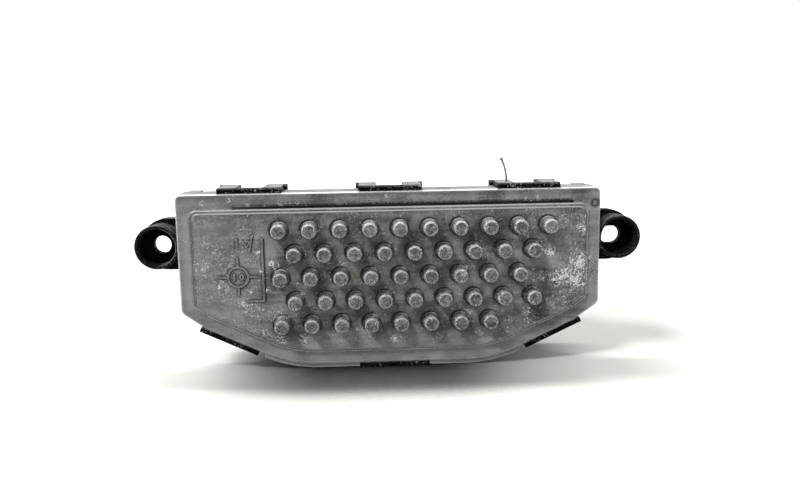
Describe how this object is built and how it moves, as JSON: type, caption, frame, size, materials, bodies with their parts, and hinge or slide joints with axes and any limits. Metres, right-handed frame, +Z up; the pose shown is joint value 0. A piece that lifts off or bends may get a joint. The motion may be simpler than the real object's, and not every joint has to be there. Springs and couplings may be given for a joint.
{
  "type": "blower motor resistor",
  "caption": "Electronic fan speed regulator: a cast pin-fin heat sink snapped into a moulded housing with two screw ears and two plug sockets at the back.",
  "frame": {"origin": "middle of the bounding box in X and Y, at the height of the lower edge it stands on", "axes": "+X to the right seen from the pins, +Y from the pins to the sockets, +Z up"},
  "size_m": [0.1368, 0.0398, 0.0569],
  "materials": {
    "cast_metal": "rough cast, spotted with white oxide",
    "housing_plastic": "moulded, slightly scuffed",
    "board": "solder mask",
    "package": "moulded epoxy",
    "tinned": "tinned metal",
    "pad": "soft filled silicone",
    "spring_steel": "bright strip",
    "screw_steel": "zinc plated",
    "sleeve": "shrunk sleeve",
    "ferrite": "coated ring core",
    "copper": "enamelled wire",
    "strap": "rolled alloy strip",
    "ceramic": "fired",
    "stalk": "dry plant stalk"
  },
  "bodies": {
    "root": {"heat_sink": "cast_metal", "housing": "housing_plastic", "circuit_board": "board", "power_transistors": "package", "transistor_leads": "tinned", "thermal_pads": "pad", "clamp_spring": "spring_steel", "clamp_screw": "screw_steel", "board_screws": "screw_steel", "capacitor": "sleeve", "capacitor_leads": "tinned", "choke_core": "ferrite", "choke_winding": "copper", "shunt": "strap", "control_chip": "package", "chip_legs": "tinned", "chip_components": "ceramic", "freewheel_diode": "package", "supply_blades": "tinned", "signal_pins": "tinned", "motor_blades": "tinned", "dry_stem": "stalk"}
  },
  "joints": []
}
